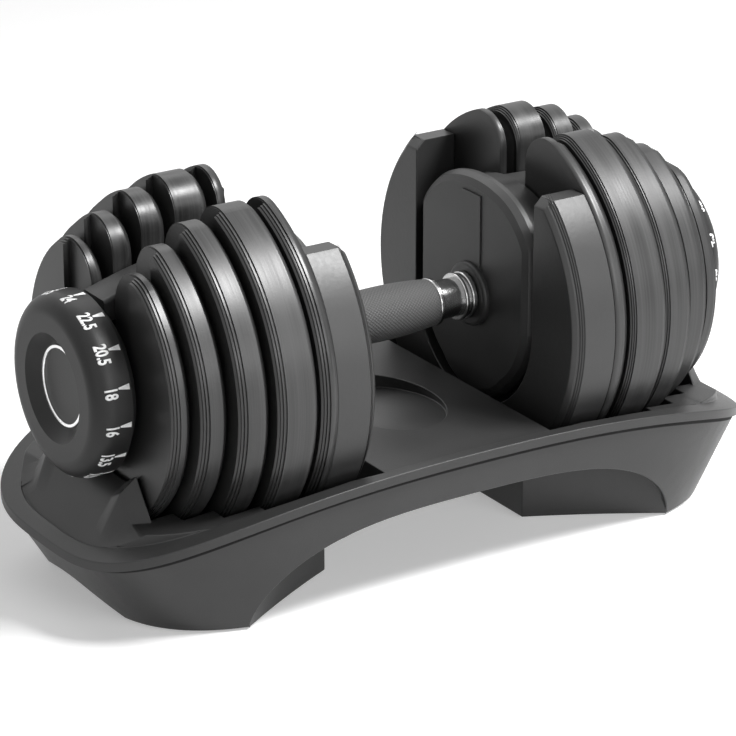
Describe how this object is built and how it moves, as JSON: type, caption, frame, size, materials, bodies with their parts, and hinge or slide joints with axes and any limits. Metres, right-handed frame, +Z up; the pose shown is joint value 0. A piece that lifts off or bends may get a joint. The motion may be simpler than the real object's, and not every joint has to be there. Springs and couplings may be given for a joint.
{
  "type": "adjustable dumbbell",
  "caption": "Adjustable dumbbell resting in its moulded tray, with a numbered dial at each end and loose slotted weight plates on both sides of a rubber grip.",
  "frame": {"origin": "on the ground under the middle of the tray", "axes": "+X along the handle, +Y across it, +Z up"},
  "size_m": [0.4278, 0.209, 0.2154],
  "materials": {
    "tray_plastic": "fine moulded texture",
    "plate_plastic": "satin, faint turned streaks",
    "hub_plastic": "satin",
    "dial_plastic": "smooth matt with white printed numbers",
    "cap_plastic": "smooth",
    "bright_trim": "polished",
    "grip_rubber": "fine stipple",
    "tube_chrome": "polished",
    "steel": "brushed",
    "belly_iron": "satin painted",
    "core_iron": "bare",
    "inner_plastic": "moulded",
    "pad_rubber": "matt"
  },
  "bodies": {
    "tray": {"tray_top": "tray_plastic", "tray_skirt": "tray_plastic", "tray_screws": "steel", "foot_pads": "pad_rubber"},
    "handle": {"grip": "grip_rubber", "handle_tube": "tube_chrome", "tie_rod": "steel", "rod_nuts": "steel", "handle_screws": "steel", "click_springs": "steel", "lock_springs": "steel", "left_hub_cover": "hub_plastic", "left_hub_housing": "hub_plastic", "left_bridge": "hub_plastic", "left_index_plate": "inner_plastic", "right_hub_cover": "hub_plastic", "right_hub_housing": "hub_plastic", "right_bridge": "hub_plastic", "right_index_plate": "inner_plastic"},
    "left_dial_group": {"left_dial": "dial_plastic", "left_dial_ring": "bright_trim", "left_dial_cap": "cap_plastic", "left_selector_shaft": "steel", "left_selector_disc_1": "inner_plastic", "left_selector_disc_2": "inner_plastic", "left_selector_disc_3": "inner_plastic", "left_selector_disc_4": "inner_plastic", "left_selector_disc_5": "inner_plastic"},
    "left_lock": {"left_lock_slider": "steel"},
    "left_plate_1": {"left_plate_1_cover": "plate_plastic", "left_plate_1_belly": "belly_iron"},
    "left_plate_2": {"left_plate_2_cover": "plate_plastic", "left_plate_2_core": "core_iron"},
    "left_plate_3": {"left_plate_3_cover": "plate_plastic", "left_plate_3_core": "core_iron"},
    "left_plate_4": {"left_plate_4_cover": "plate_plastic", "left_plate_4_core": "core_iron"},
    "left_plate_5": {"left_plate_5_cover": "plate_plastic", "left_plate_5_core": "core_iron"},
    "right_dial_group": {"right_dial": "dial_plastic", "right_dial_ring": "bright_trim", "right_dial_cap": "cap_plastic", "right_selector_shaft": "steel", "right_selector_disc_1": "inner_plastic", "right_selector_disc_2": "inner_plastic", "right_selector_disc_3": "inner_plastic", "right_selector_disc_4": "inner_plastic", "right_selector_disc_5": "inner_plastic"},
    "right_lock": {"right_lock_slider": "steel"},
    "right_plate_1": {"right_plate_1_cover": "plate_plastic", "right_plate_1_belly": "belly_iron"},
    "right_plate_2": {"right_plate_2_cover": "plate_plastic", "right_plate_2_core": "core_iron"},
    "right_plate_3": {"right_plate_3_cover": "plate_plastic", "right_plate_3_core": "core_iron"},
    "right_plate_4": {"right_plate_4_cover": "plate_plastic", "right_plate_4_core": "core_iron"},
    "right_plate_5": {"right_plate_5_cover": "plate_plastic", "right_plate_5_core": "core_iron"}
  },
  "joints": [
    {"name": "handle_lift", "type": "slide", "parent": "tray", "child": "handle", "axis": [0, 0, 1], "range_m": [0, 0.25]},
    {"name": "left_dial_turn", "type": "hinge", "parent": "handle", "child": "left_dial_group", "pos_m": [-0.19, 0, 0.1215], "axis": [-1, 0, 0], "continuous": true},
    {"name": "left_lock_drop", "type": "slide", "parent": "handle", "child": "left_lock", "axis": [0, 0, 1], "range_m": [-0.0035, 0]},
    {"name": "left_plate_1_lift", "type": "slide", "parent": "tray", "child": "left_plate_1", "axis": [0, 0, 1], "range_m": [0, 0.25]},
    {"name": "left_plate_2_lift", "type": "slide", "parent": "tray", "child": "left_plate_2", "axis": [0, 0, 1], "range_m": [0, 0.25]},
    {"name": "left_plate_3_lift", "type": "slide", "parent": "tray", "child": "left_plate_3", "axis": [0, 0, 1], "range_m": [0, 0.25]},
    {"name": "left_plate_4_lift", "type": "slide", "parent": "tray", "child": "left_plate_4", "axis": [0, 0, 1], "range_m": [0, 0.25]},
    {"name": "left_plate_5_lift", "type": "slide", "parent": "tray", "child": "left_plate_5", "axis": [0, 0, 1], "range_m": [0, 0.25]},
    {"name": "right_dial_turn", "type": "hinge", "parent": "handle", "child": "right_dial_group", "pos_m": [0.19, 0, 0.1215], "axis": [1, 0, 0], "continuous": true},
    {"name": "right_lock_drop", "type": "slide", "parent": "handle", "child": "right_lock", "axis": [0, 0, 1], "range_m": [-0.0035, 0]},
    {"name": "right_plate_1_lift", "type": "slide", "parent": "tray", "child": "right_plate_1", "axis": [0, 0, 1], "range_m": [0, 0.25]},
    {"name": "right_plate_2_lift", "type": "slide", "parent": "tray", "child": "right_plate_2", "axis": [0, 0, 1], "range_m": [0, 0.25]},
    {"name": "right_plate_3_lift", "type": "slide", "parent": "tray", "child": "right_plate_3", "axis": [0, 0, 1], "range_m": [0, 0.25]},
    {"name": "right_plate_4_lift", "type": "slide", "parent": "tray", "child": "right_plate_4", "axis": [0, 0, 1], "range_m": [0, 0.25]},
    {"name": "right_plate_5_lift", "type": "slide", "parent": "tray", "child": "right_plate_5", "axis": [0, 0, 1], "range_m": [0, 0.25]}
  ],
  "couplings": [
    {"joint": "left_lock_drop", "follows": "handle_lift", "ratio": -0.014},
    {"joint": "left_plate_1_lift", "follows": "handle_lift", "ratio": 1},
    {"joint": "left_plate_2_lift", "follows": "handle_lift", "ratio": 1},
    {"joint": "left_plate_3_lift", "follows": "handle_lift", "ratio": 1},
    {"joint": "left_plate_4_lift", "follows": "handle_lift", "ratio": 1},
    {"joint": "left_plate_5_lift", "follows": "handle_lift", "ratio": 1},
    {"joint": "right_lock_drop", "follows": "handle_lift", "ratio": -0.014},
    {"joint": "right_plate_1_lift", "follows": "handle_lift", "ratio": 1},
    {"joint": "right_plate_2_lift", "follows": "handle_lift", "ratio": 1},
    {"joint": "right_plate_3_lift", "follows": "handle_lift", "ratio": 1},
    {"joint": "right_plate_4_lift", "follows": "handle_lift", "ratio": 1},
    {"joint": "right_plate_5_lift", "follows": "handle_lift", "ratio": 1}
  ]
}
